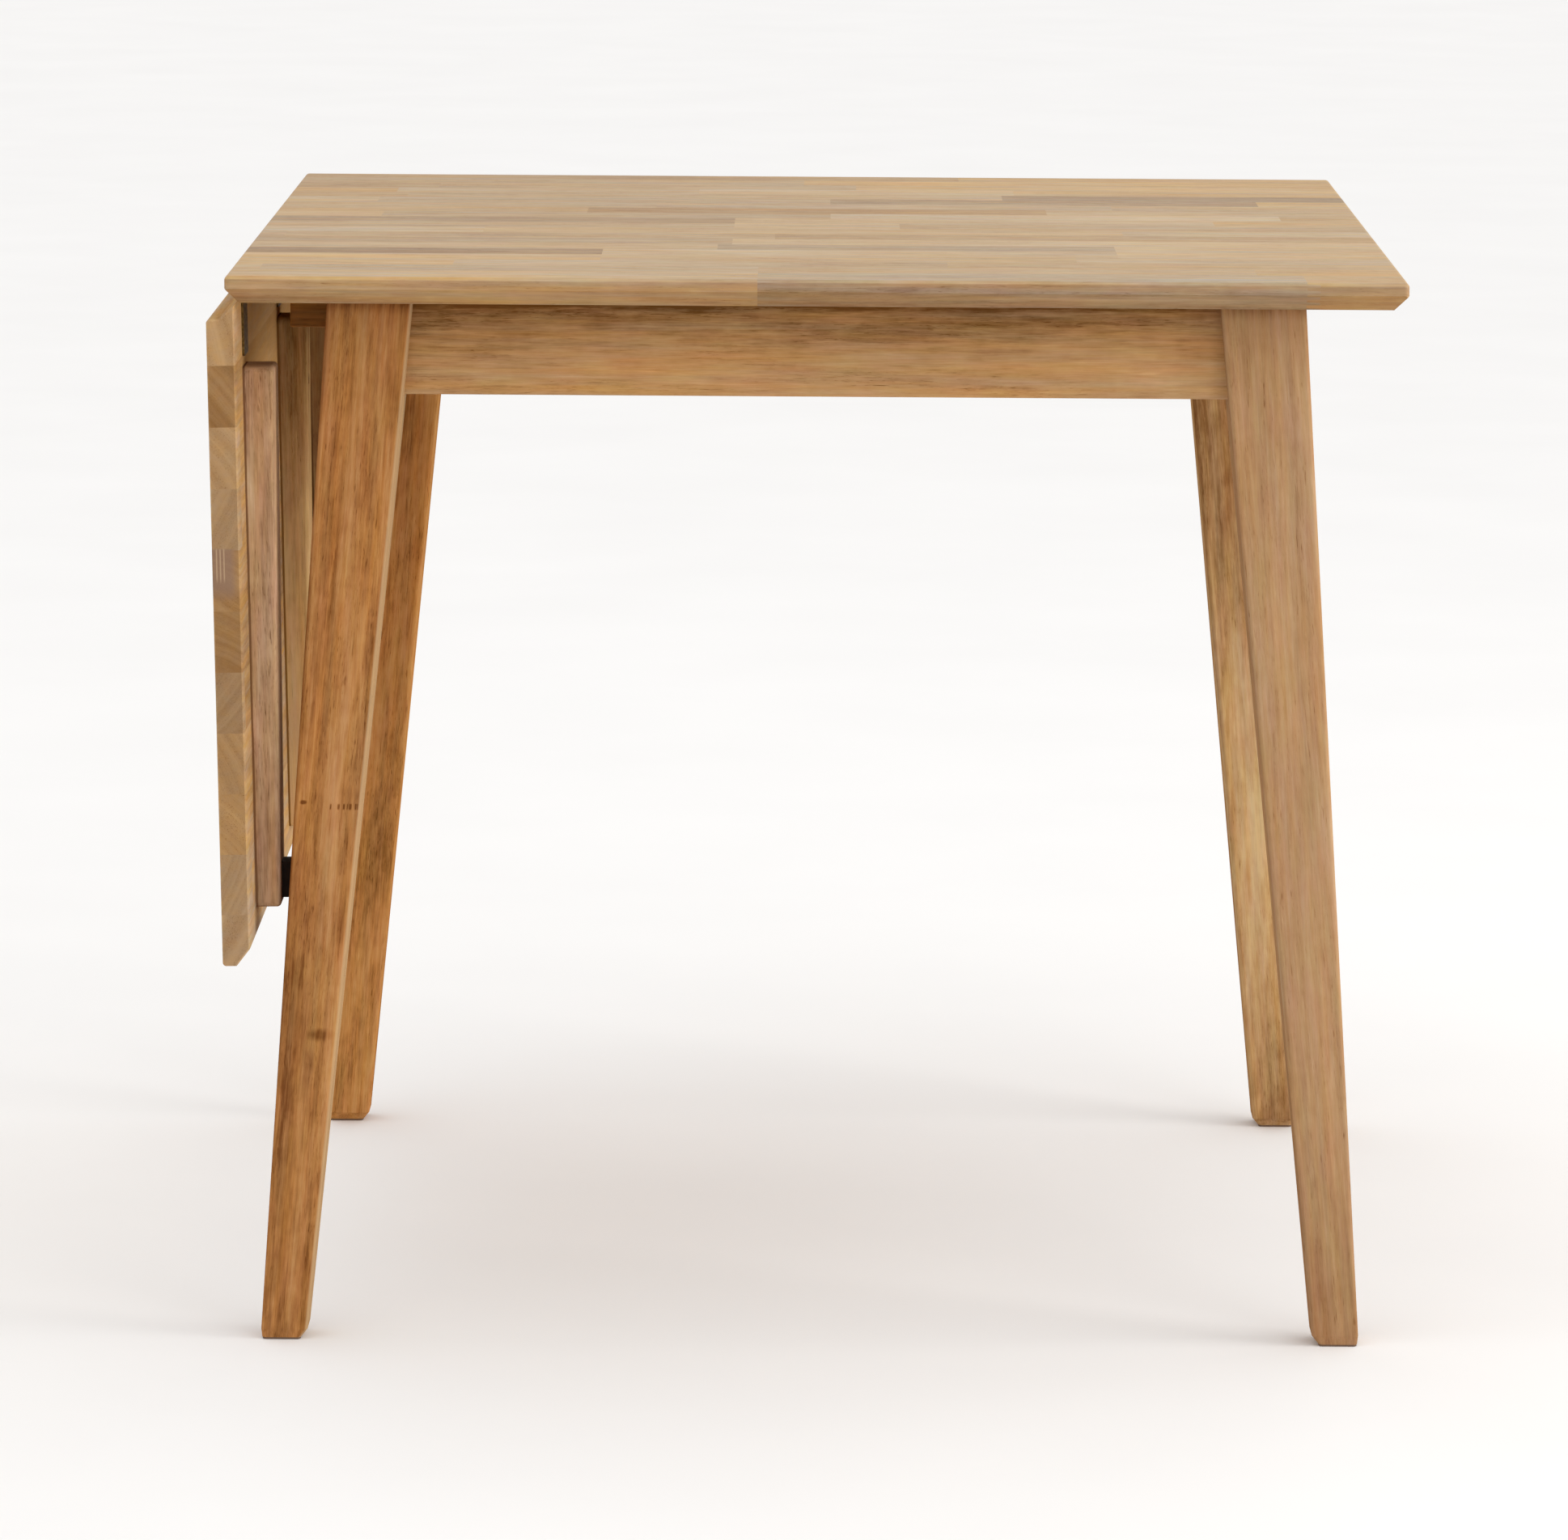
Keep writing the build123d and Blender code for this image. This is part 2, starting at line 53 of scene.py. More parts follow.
# Where the middle line of a leg meets the floor, and how far it shifts for each metre of height
LEG_FOOT = Vector((0.366, 0.3539))
LEG_LEAN = Vector((0.0832, 0.0752))


# ---------------------------------------------------------------- node graphs
class Graph:
    """A material's node tree, with short ways to add maths, noise and mixes."""

    def __init__(self, name):
        self.material = bpy.data.materials.new(name)
        self.material.use_nodes = True
        self.tree = self.material.node_tree
        self.tree.nodes.clear()
        self.coords = self.node("ShaderNodeTexCoord")
        self.output = self.node("ShaderNodeOutputMaterial")
        self.bsdf = self.node("ShaderNodeBsdfPrincipled")
        self.tree.links.new(self.bsdf.outputs[0], self.output.inputs[0])

    def node(self, kind, **values):
        made = self.tree.nodes.new(kind)
        for key, value in values.items():
            setattr(made, key, value)
        return made

    def put(self, socket, value):
        if isinstance(value, bpy.types.NodeSocket):
            self.tree.links.new(value, socket)
        else:
            socket.default_value = value

    def math(self, op, a, b=0.0):
        made = self.node("ShaderNodeMath", operation=op)
        for socket, value in zip(made.inputs, (a, b)):
            self.put(socket, value)
        return made.outputs[0]

    def add(self, a, b):
        return self.math("ADD", a, b)

    def sub(self, a, b):
        return self.math("SUBTRACT", a, b)

    def mul(self, a, b):
        return self.math("MULTIPLY", a, b)

    def vec(self, op, a, b):
        made = self.node("ShaderNodeVectorMath", operation=op)
        self.put(made.inputs[0], a)
        self.put(made.inputs[1], b)
        return made.outputs[0]

    def combine(self, x, y, z):
        """A vector made of three numbers."""
        made = self.node("ShaderNodeCombineXYZ")
        for socket, value in zip(made.inputs, (x, y, z)):
            self.put(socket, value)
        return made.outputs[0]

    def split(self, vector):
        made = self.node("ShaderNodeSeparateXYZ")
        self.put(made.inputs[0], vector)
        return made.outputs[0], made.outputs[1], made.outputs[2]

    def noise(self, vector, scale, detail, rough):
        made = self.node("ShaderNodeTexNoise")
        self.put(made.inputs["Vector"], vector)
        self.put(made.inputs["Scale"], scale)
        self.put(made.inputs["Detail"], detail)
        self.put(made.inputs["Roughness"], rough)
        return made.outputs[0]

    def white(self, x, y, z):
        """Three steady random numbers for every x, y and z."""
        made = self.node("ShaderNodeTexWhiteNoise", noise_dimensions="3D")
        self.put(made.inputs["Vector"], self.combine(x, y, z))
        return self.split(made.outputs["Color"])

    def smooth(self, value, low, high, out_low=0.0, out_high=1.0):
        made = self.node("ShaderNodeMapRange", interpolation_type="SMOOTHSTEP")
        for socket, number in zip(made.inputs, (value, low, high, out_low, out_high)):
            self.put(socket, number)
        return made.outputs[0]

    def linear(self, value, low, high, out_low=0.0, out_high=1.0):
        made = self.node("ShaderNodeMapRange")
        for socket, number in zip(made.inputs, (value, low, high, out_low, out_high)):
            self.put(socket, number)
        return made.outputs[0]

    def mix(self, factor, a, b):
        made = self.node("ShaderNodeMix", data_type="FLOAT")
        self.put(made.inputs[0], factor)
        self.put(made.inputs[2], a)
        self.put(made.inputs[3], b)
        return made.outputs[0]

    def blend(self, factor, a, b):
        made = self.node("ShaderNodeMix", data_type="RGBA")
        self.put(made.inputs[0], factor)
        self.put(made.inputs[6], a)
        self.put(made.inputs[7], b)
        return made.outputs[2]

    def ramp(self, factor, stops, kind="LINEAR"):
        made = self.node("ShaderNodeValToRGB")
        made.color_ramp.interpolation = kind
        elements = made.color_ramp.elements
        while len(elements) < len(stops):
            elements.new(0.5)
        for element, (place, colour) in zip(elements, stops):
            element.position = place
            element.color = colour
        self.put(made.inputs[0], factor)
        return made.outputs[0]

    def bump(self, height, strength, distance):
        made = self.node("ShaderNodeBump")
        made.inputs["Strength"].default_value = strength
        made.inputs["Distance"].default_value = distance
        self.put(made.inputs["Height"], height)
        return made.outputs[0]


def rgb(red, green, blue):
    """sRGB numbers from 0 to 255 as a linear colour."""
    def one(value):
        value /= 255
        return value / 12.92 if value <= 0.04045 else ((value + 0.055) / 1.055) ** 2.4
    return (one(red), one(green), one(blue), 1.0)


# ---------------------------------------------------------------- oak
def oak(name, board, seed, stave=None, light=(205, 172, 130), mid=(180, 138, 92), dark=(128, 86, 46),
        tone=0.5, contrast=1.0, figure=1.0, warm=1.0, taper=0.03, marks=(), centre=(0.0, -0.04),
        scatter=0.05, dashy=0.20, side=0.0, under=0.0, ends=0.0, shine=1.0, tints=()):
    """Lacquered oak. board gives the place along, across and through the board, and how far a face looks
    along the grain. stave gives numbers for the glued stave each place lies in. centre is where the middle
    of the log lay, across and through the board, and scatter is how far that differs between staves. side
    and under say how much painted shade darkens the vertical and the downward faces, ends says how much
    darker the end grain is, shine is how glossy it is, and tints are places with a colour of their own, some
    the wood's own colour and some painted light."""
    g = Graph(name)
    along, across, through, end = board(g)
    flat = g.sub(1.0, end)
    if stave is None:
        r1, r2, r3 = g.white(seed, seed * 0.37, 3.0)
        local, tint, hue = across, tone, 0.0
    else:
        (r1, r2, r3), local, tint, hue = stave(g, along, across, through, seed)
    # Each stave is cut from its own place in its own log.
    u = g.add(along, g.mul(r1, 7.0))
    v = g.add(local, g.mul(r2, 3.0))
    w = g.add(through, g.mul(r3, 3.0))

    def grain(long, wide, detail, rough=0.55, shift=0.0):
        place = g.combine(g.add(g.mul(u, 1 / long), shift), g.mul(v, 1 / wide), g.mul(w, 1 / wide))
        return g.sub(g.noise(place, 1.0, detail, rough), 0.5)

    # Growth rings bend slowly along the board and close into arches where it is flat sawn.
    sway = grain(0.42, 0.13, 2.0)
    shiver = grain(0.09, 0.014, 2.0, shift=3.1)
    pith_v = g.add(centre[0], g.mul(g.sub(r2, 0.5), scatter if stave else 0.0))
    pith_w = g.sub(centre[1], g.mul(r3, scatter if stave else 0.0))
    dv = g.add(g.sub(local, pith_v), g.mul(sway, 0.030))
    dw = g.sub(through, pith_w)
    radius = g.math("SQRT", g.add(g.mul(dv, dv), g.mul(dw, dw)))
    slope = g.mul(g.sub(r1, 0.4), taper * 2.0)
    radius = g.add(radius, g.add(g.mul(along, slope), g.mul(shiver, 0.0016)))

    def ring(wide, long, detail, rough=0.6, shift=0.0):
        place = g.combine(g.mul(radius, 1 / wide), g.add(g.mul(u, 1 / long), shift), g.mul(r2, 9.0))
        return g.sub(g.noise(place, 1.0, detail, rough), 0.5)

    broad = ring(0.016, 0.50, 2.0)
    rings = ring(0.0042, 0.22, 3.0, 0.65, 5.0)
    streak = grain(0.050, 0.0040, 3.0, 0.6, 7.0)
    fibre = grain(0.022, 0.0011, 3.0, 0.6, 1.7)
    mottle = grain(0.012, 0.008, 2.0, 0.5, 4.0)
    open_rings = g.smooth(rings, -0.10, 0.12)
    pore = g.smooth(grain(0.0060, 0.00055, 1.0, 0.5, 2.3), 0.10, 0.22)
    pore = g.mul(pore, g.linear(open_rings, 0.0, 1.0, 0.12, 1.0))
    dash = g.smooth(grain(0.016, 0.0011, 2.0, 0.5, 9.0), 0.13, 0.26)
    dash = g.mul(dash, g.linear(open_rings, 0.0, 1.0, 0.2, 1.0))
    fleck = g.smooth(grain(0.030, 0.0026, 2.0, 0.5, 6.0), 0.14, 0.27)

    # How dark the wood is here, from 0 for the palest to 1
    layers = g.add(g.mul(broad, 1.10 * figure * contrast), g.mul(rings, 0.80 * figure * contrast))
    depth = g.add(tint, g.mul(layers, g.linear(end, 0.0, 1.0, 1.0, 0.65)))
    length = g.add(g.mul(streak, 0.75 * contrast), g.mul(fibre, 0.55 * contrast))
    length = g.add(length, g.mul(mottle, 0.30 * contrast))
    length = g.add(length, g.mul(dash, dashy * contrast))
    length = g.sub(length, g.mul(fleck, 0.10))
    length = g.mul(length, g.linear(flat, 0.0, 1.0, 0.22, 1.0))
    # Painted shade: vertical faces darker and with less grain contrast, downward faces darker.
    if side or under:
        upward = g.split(g.coords.outputs["Normal"])[2]
        shaded_upright = g.smooth(upward, 0.5, 0.1)
        length = g.mul(length, g.linear(shaded_upright, 0.0, 1.0, 1.0, 0.75))
        depth = g.add(depth, g.mul(shaded_upright, side))
        shaded_beneath = g.smooth(upward, -0.1, -0.6)
        depth = g.add(depth, g.mul(shaded_beneath, under))
    depth = g.add(depth, length)
    depth = g.add(depth, g.mul(pore, g.linear(end, 0.0, 1.0, 0.22 * contrast, 0.40)))
    if ends:
        depth = g.add(depth, g.mul(end, ends))
    for mark in marks:
        depth = g.add(depth, mark(g, along, across, through))
    stops = ((0.0, light), (0.5, mid), (1.0, dark))
    colour = g.ramp(depth, [(place, rgb(*shade)) for place, shade in stops])
    # Streaks lean to orange, to pink or to olive.
    even = g.linear(flat, 0.0, 1.0, 0.3, 1.0)
    lean = g.add(g.mul(grain(0.16, 0.0075, 3.0, 0.6, 11.0), even), g.mul(hue, 0.16))
    rosy = g.mul(grain(0.05, 0.010, 3.0, 0.6, 13.0), even)
    red = g.add(1.0, g.mul(lean, 0.55 * warm))
    green = g.sub(1.0, g.mul(rosy, 0.28))
    blue = g.sub(1.0, g.mul(lean, 1.30 * warm))
    # Painted shade in the colour: less green and blue on downward faces, more blue on vertical ones.
    if side or under:
        green = g.mul(green, g.linear(shaded_beneath, 0.0, 1.0, 1.0, 0.93))
        blue = g.mul(blue, g.linear(shaded_upright, 0.0, 1.0, 1.0, 1.10))
        blue = g.mul(blue, g.linear(shaded_beneath, 0.0, 1.0, 1.0, 0.75))
    colour = g.vec("MULTIPLY", colour, g.combine(red, green, blue))
    for place, shade in tints:
        colour = g.blend(place(g, along, across, through), colour, rgb(*shade))
    g.put(g.bsdf.inputs["Base Color"], colour)
    rough = g.add(g.linear(fibre, -0.2, 0.2, 0.46, 0.58), g.mul(pore, 0.12))
    g.put(g.bsdf.inputs["Roughness"], rough)
    g.bsdf.inputs["Specular IOR Level"].default_value = 0.28 * shine
    g.bsdf.inputs["Coat Weight"].default_value = 0.08 * shine
    g.bsdf.inputs["Coat Roughness"].default_value = 0.34
    height = g.sub(g.mul(fibre, 0.9), g.mul(g.add(pore, dash), 0.6))
    g.put(g.bsdf.inputs["Normal"], g.bump(height, 0.30, 0.0003))
    return g.material


def spot(z, x, long, wide, strength):
    """A dark knot or scar on the front of a leg, at a height z and x off the leg's middle line."""
    def mark(g, along, across, through):
        a = g.mul(g.sub(along, z), 1 / long)
        b = g.mul(g.sub(across, x), 1 / wide)
        distance = g.math("SQRT", g.add(g.mul(a, a), g.mul(b, b)))
        return g.mul(g.smooth(distance, 1.0, 0.2), strength)
    return mark


def dashes(z, x0, x1, long, pitch, strength):
    """A row of short dark dashes across the front of a leg, from x0 to x1."""
    def mark(g, along, across, through):
        row = g.smooth(g.math("ABSOLUTE", g.sub(along, z)), long, long * 0.3)
        inside = g.mul(g.smooth(across, x0 - 0.001, x0), g.smooth(across, x1 + 0.001, x1))
        comb = g.noise(g.combine(g.mul(across, 1 / pitch), 7.3, 1.1), 1.0, 1.0, 0.5)
        comb = g.smooth(comb, 0.50, 0.60)
        return g.mul(g.mul(row, inside), g.mul(comb, strength))
    return mark


def darkened(axis, start, end, strength):
    """Wood that grows darker from start to end along one of the board's axes."""
    def mark(g, *place):
        return g.mul(g.smooth(place[axis], start, end), strength)
    return mark


def shaded(low, high, start, end, strength):
    """Painted shade on a leg, growing darker upwards from low to high, and sideways from start to end."""
    def mark(g, along, across, through):
        return g.mul(g.mul(g.smooth(along, low, high), g.smooth(across, start, end)), strength)
    return mark


def painted_lit_side(g, *place):
    """A painted highlight on the side of a leg that looks towards +X."""
    return g.smooth(g.split(g.coords.outputs["Normal"])[0], 0.15, 0.75, 0.0, 0.65)


def board_axes(order, origin=(0.0, 0.0, 0.0), lean=(0.0, 0.0), turn=0.0):
    """A board frame. order names the axes along, across and through the board. lean is how far the grain
    shifts in X and Y for each metre of Z. turn is a rotation about Y at the hinge line."""
    def build(g):
        place = g.vec("SUBTRACT", g.coords.outputs["Object"], origin)
        normal = g.coords.outputs["Normal"]
        if turn:
            rotate = g.node("ShaderNodeVectorRotate", rotation_type="Y_AXIS")
            g.put(rotate.inputs["Vector"], place)
            rotate.inputs["Angle"].default_value = turn
            place = rotate.outputs[0]
        axes = dict(zip("XYZ", g.split(place)))
        faces = dict(zip("XYZ", g.split(normal)))
        if lean != (0.0, 0.0):
            axes["X"] = g.sub(axes["X"], g.mul(axes["Z"], lean[0]))
            axes["Y"] = g.sub(axes["Y"], g.mul(axes["Z"], lean[1]))
        facing = g.mul(faces[order[0]], faces[order[0]])
        return axes[order[0]], axes[order[1]], axes[order[2]], g.smooth(facing, 0.3, 0.8)
    return build


# Rows of staves in the main top, from the rear edge to the front: the places of up to three glue joints, in
# metres from the left edge, how dark each stave is from the left, and how far each leans to orange (+) or
# grey (-).
NONE = 0.9
TOP_ROWS = (
    ((0.51, NONE, NONE), (0.62, 0.45, 0.40, 0.40), (0.2, 0.9, 0.5, 0.5)),
    ((0.39, NONE, NONE), (0.42, 0.38, 0.35, 0.35), (0.0, 0.8, 0.5, 0.5)),
    ((0.11, 0.43, NONE), (0.60, 0.58, 0.34, 0.34), (0.1, 0.0, 0.7, 0.5)),
    ((0.08, 0.31, 0.55), (0.58, 0.42, 0.26, 0.36), (0.9, -0.1, 0.1, 0.5)),
    ((0.09, 0.54, NONE), (0.62, 0.40, 0.88, 0.80), (0.3, 0.1, -0.5, 0.0)),
    ((0.07, 0.41, 0.74), (0.20, 0.40, 0.84, 0.36), (0.2, 0.0, -0.3, 0.7)),
    ((0.28, 0.62, NONE), (0.42, 0.42, 0.40, 0.40), (0.1, -0.3, 0.2, 0.2)),
    ((0.23, 0.57, NONE), (0.38, 0.80, 0.32, 0.30), (0.4, 0.9, 0.2, 0.2)),
    ((0.08, 0.41, 0.75), (0.30, 0.60, 0.12, 0.38), (0.5, 0.1, -0.1, 0.4)),
    ((0.34, 0.69, NONE), (0.92, 0.26, 0.34, 0.34), (0.0, 0.2, 0.7, 0.5)),
    ((0.34, 0.46, NONE), (0.46, 0.26, 0.50, 0.40), (-0.2, 0.2, 0.1, 0.1)),
    ((0.16, 0.62, NONE), (0.18, 0.36, 0.26, 0.20), (-0.3, 0.2, -0.2, 0.0)),
    ((0.02, 0.37, NONE), (0.46, 0.48, 0.62, 0.62), (0.1, -0.1, 0.1, 0.2)),
    ((0.34, NONE, NONE), (0.52, 0.18, 0.20, 0.20), (-0.2, 0.1, 0.2, 0.0)),
    ((0.33, 0.61, NONE), (0.42, 0.54, 0.30, 0.30), (-0.1, -0.5, 0.1, 0.1)),
    ((0.25, 0.61, NONE), (0.94, 0.18, 0.20, 0.20), (0.1, 0.0, 0.2, 0.2)),
    ((0.25, 0.58, NONE), (0.24, 0.46, 0.40, 0.40), (0.5, 0.3, -0.1, 0.1)),
    ((0.15, 0.49, NONE), (0.22, 0.40, 0.34, 0.34), (0.6, -0.1, 0.1, 0.1)),
    ((0.02, 0.36, 0.70), (0.36, 0.38, 0.32, 0.28), (0.3, -0.3, 0.1, 0.4)),
    ((0.36, 0.74, NONE), (0.34, 0.44, 0.28, 0.28), (0.4, -0.8, 0.3, 0.3)),
)


def table_ramps(g, place, columns):
    """One constant colour ramp for every three columns of numbers, read at place."""
    found = []
    for first in range(0, len(columns[0]), 3):
        stops = []
        for index, row in enumerate(columns):
            part = (tuple(row[first:first + 3]) + (0.0, 0.0, 0.0))[:3]
            stops.append((index / len(columns), part + (1.0,)))
        found.extend(g.split(g.ramp(place, stops, "CONSTANT")))
    return found


def top_staves(g, along, across, through, seed):
    """Rows of staves butted end to end along X, with short finger joints that show on the edges."""
    count = len(TOP_ROWS)
    row = g.math("FLOOR", g.mul(g.sub(HALF_TOP, across), 1 / STAVE))
    row = g.math("MINIMUM", g.math("MAXIMUM", row, 0.0), count - 1.0)
    place = g.mul(g.add(row, 0.5), 1 / count)
    rows = [joints + tones + tuple(0.5 + 0.5 * hue for hue in hues) for joints, tones, hues in TOP_ROWS]
    numbers = table_ramps(g, place, rows)
    joints, tones, hues = numbers[0:3], numbers[3:7], numbers[7:11]
    fingers = g.math("PINGPONG", through, FINGER_PITCH)
    tooth = g.mul(g.smooth(fingers, 0.0008, 0.0013), FINGER_LENGTH)
    tint, hue, number = tones[0], hues[0], 0.0
    for joint, tone, lean in zip(joints, tones[1:], hues[1:]):
        toothed = g.math("GREATER_THAN", joint, FINGERED_FROM)
        reach = g.add(g.add(along, HALF_TOP), g.mul(tooth, toothed))
        past = g.math("GREATER_THAN", reach, joint)
        tint = g.mix(past, tint, tone)
        hue = g.mix(past, hue, lean)
        number = g.add(number, past)
    randoms = g.white(row, number, seed)
    hue = g.add(g.linear(hue, 0.0, 1.0, -1.0, 1.0), g.mul(g.sub(randoms[1], 0.5), 0.4))
    local = g.sub(across, g.add(g.mul(row, -STAVE), HALF_TOP - STAVE / 2))
    return randoms, local, g.linear(tint, 0.0, 1.0, 0.14, 0.76), hue


# How dark the rows of staves in the leaf are, from the hinged edge to the free edge
LEAF_TONES = (0.28, 0.60, 0.50, 0.50, 0.64, 0.60, 0.60, 0.52, 0.52, 0.48, 0.52)


def leaf_staves(g, along, across, through, seed):
    """Rows of staves butted end to end along Y. The leaf hangs, so across is below zero."""
    count = len(LEAF_TONES)
    out = g.mul(across, -1.0)
    row = g.math("FLOOR", g.mul(g.add(out, LEAF_FIRST), 1 / LEAF_STAVE))
    row = g.math("MINIMUM", g.math("MAXIMUM", row, 0.0), count - 1.0)
    tone = table_ramps(g, g.mul(g.add(row, 0.5), 1 / count), [(tone,) for tone in LEAF_TONES])[0]
    shift = g.white(row, 5.0, seed)[0]
    number = g.math("FLOOR", g.add(g.mul(along, 1 / LEAF_STAVE_LENGTH), g.mul(shift, 3.0)))
    randoms = g.white(row, number, seed)
    tint = g.add(tone, g.linear(randoms[0], 0.0, 1.0, -0.10, 0.10))
    local = g.sub(g.add(out, LEAF_FIRST), g.mul(g.add(row, 0.5), LEAF_STAVE))
    return randoms, local, tint, g.linear(randoms[1], 0.0, 1.0, -0.6, 0.6)


def leaf_patch(g, along, across, through):
    """A grey patch on the front end of the leaf's fifth stave."""
    patch = g.mul(g.smooth(across, *PATCH_START), g.smooth(across, *PATCH_END))
    patch = g.mul(patch, g.smooth(through, -0.0020, -0.0090))
    return g.mul(g.mul(patch, g.smooth(along, *FRONT_END)), 0.75)


def patch_lines(g, along, across, through):
    """Three pale lines that cross the upper part of the patch."""
    lines = 0.0
    for place in LINE_PLACES:
        away = g.math("ABSOLUTE", g.sub(through, place))
        lines = g.add(lines, g.smooth(away, 0.0007, 0.0002))
    lines = g.mul(lines, g.mul(g.smooth(across, *PATCH_START), g.smooth(across, *LINES_END)))
    return g.mul(g.mul(lines, g.smooth(along, *FRONT_END)), 0.45)


def painted_root_glow(g, along, across, through):
    """A painted warm glow on the inner face of the leaf close to its hinges, standing in for the light that
    the wood around it bounces there.
    """
    root = g.mul(g.smooth(across, -0.180, -0.030), g.smooth(along, -0.400, -0.300))
    return g.mul(g.mul(g.smooth(through, *INNER_FACE), root), 0.55)


top_axes = board_axes("XYZ", (TOP_X, 0.0, TOP_LOW.z))
leaf_axes = board_axes("YZX", tuple(PIVOT), turn=HANG_TILT)


def use(material, *names):
    for name in names:
        mesh = nodes[name].data
        mesh.materials.clear()
        mesh.materials.append(material)


# side and under paint shade onto the top's edge faces and its underside.
use(oak("oak_top", top_axes, 1.0, top_staves, light=(199, 173, 135), mid=(173, 142, 102), dark=(128, 94, 58),
        contrast=0.75, figure=0.7, side=0.33, under=0.05, shine=0.6), "tabletop")
use(oak("oak_leaf", leaf_axes, 2.0, leaf_staves, light=(206, 176, 138), mid=(178, 144, 104),
        dark=(128, 94, 60), contrast=0.6, centre=(0.03, -0.02), scatter=0.30, ends=0.22, shine=0.0,
        # The first tint is painted warm bounce light; the grey patch and its pale lines are the wood's own.
        tints=((painted_root_glow, (224, 174, 108)), (leaf_patch, (134, 108, 92)),
               (patch_lines, (196, 168, 134)))), "leaf_panel")

LEG_LOOKS = {
    "leg_front_left": dict(light=(198, 151, 99), mid=(170, 118, 69), dark=(113, 68, 33), tone=0.5,
                           seed=11.0, contrast=1.15, warm=0.5, dashy=0.4, centre=(0.035, 0.05),
                           marks=(spot(0.376, -0.0170, 0.0022, 0.0034, 0.75),
                                  dashes(0.373, 0.0015, 0.0205, 0.0028, 0.0014, 0.6),
                                  spot(0.300, 0.0165, 0.040, 0.0040, 0.30),
                                  spot(0.214, 0.0080, 0.0060, 0.0130, 0.35)),
                           # A painted highlight on the leg's side that looks towards +X.
                           tints=((painted_lit_side, (182, 155, 118)),)),
    "leg_front_right": dict(light=(190, 157, 122), mid=(166, 129, 92), dark=(126, 87, 55), tone=0.45,
                            seed=12.3, contrast=0.7, warm=0.4, dashy=0.7, centre=(-0.06, 0.03)),
    "leg_rear_left": dict(light=(201, 152, 96), mid=(177, 123, 69), dark=(110, 68, 28), tone=0.44,
                          seed=13.1, contrast=1.2, warm=0.5, dashy=0.4, centre=(0.02, 0.09),
                          marks=(shaded(0.44, 0.58, 0.024, 0.0, 0.40),)),
    "leg_rear_right": dict(light=(200, 168, 124), mid=(175, 136, 92), dark=(124, 86, 50), tone=0.5,
                           seed=14.7, contrast=1.1, figure=1.4, centre=(0.0, 0.04), taper=0.02, warm=0.5,
                           dashy=0.4, marks=(spot(0.592, -0.0195, 0.0120, 0.0017, 0.60),)),
}
# Painted shadow on each leg just below the top, and the legs darker towards the floor.
LEG_SHADE = (darkened(0, 0.710, 0.7245, 0.50), darkened(0, 0.35, 0.02, 0.16))
for name, look in LEG_LOOKS.items():
    low, high = (Vector(c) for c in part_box(name))
    sx = 1 if low.x + high.x > TOP_X * 2 else -1
    sy = 1 if low.y + high.y > 0 else -1
    seed = look.pop("seed")
    look["marks"] = look.get("marks", ()) + LEG_SHADE
    foot = (sx * LEG_FOOT.x + TOP_X, sy * LEG_FOOT.y, 0.0)
    axes = board_axes("ZXY", foot, lean=(-sx * LEG_LEAN.x, -sy * LEG_LEAN.y))
    use(oak("oak_" + name, axes, seed, shine=0.0, **look), name)

APRONS = (("apron_front", "XZY", 21.0), ("apron_rear", "XZY", 22.0),
          ("apron_left", "YZX", 23.0), ("apron_right", "YZX", 24.0))
# Painted shade on the aprons: darker towards the top with a painted shadow just below the top, and darker
# towards one end.
APRON_SHADE = (darkened(1, 0.0, 0.070, 0.36), darkened(1, 0.056, 0.068, 0.50), darkened(0, 0.45, 0.0, 0.20))
for name, order, seed in APRONS:
    axes = board_axes(order, tuple(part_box(name)[0]))
    use(oak("oak_" + name, axes, seed, light=(201, 162, 116), mid=(174, 132, 86), dark=(104, 64, 16),
            tone=0.30, contrast=0.85, figure=0.6, warm=0.7, taper=0.012, marks=APRON_SHADE,
            centre=(0.03, -0.05), dashy=0.35, shine=0.3), name)

# Each batten: its three colours, its contrast, and how it grows darker along its length. The rear batten's
# darker colours are painted shade, the middle batten's paler ones painted light, and the middle batten's
# darkening towards the hinges is a painted shadow of the top.
BATTEN_FOOT = darkened(0, -0.27, -0.36, 0.22)
BATTEN_HINGE_SHADOW = darkened(0, -0.34, -0.02, 0.38)
BATTEN_LOOKS = {
    "batten_front": (((214, 183, 152), (186, 150, 116), (124, 90, 62)), 1.1, BATTEN_FOOT),
    "batten_middle": (((224, 190, 144), (200, 163, 115), (126, 89, 46)), 0.6, BATTEN_HINGE_SHADOW),
    "batten_rear": (((170, 134, 90), (142, 106, 66), (100, 68, 36)), 1.1, BATTEN_FOOT),
}
# A dark line where a batten meets the leaf: a painted contact shadow along the joint
BATTEN_ROOT_SHADOW = darkened(2, 0.0002, -0.0008, 0.9)
for index, (name, (colours, contrast, fading)) in enumerate(BATTEN_LOOKS.items()):
    axes = board_axes("ZYX", tuple(PIVOT), turn=HANG_TILT)
    light, mid, dark = colours
    use(oak("oak_" + name, axes, 31.0 + index * 1.7, light=light, mid=mid, dark=dark, tone=0.44,
            contrast=contrast, warm=0.5, marks=(BATTEN_ROOT_SHADOW, fading), centre=(0.02, -0.03), dashy=0.55,
            shine=0.0), name)

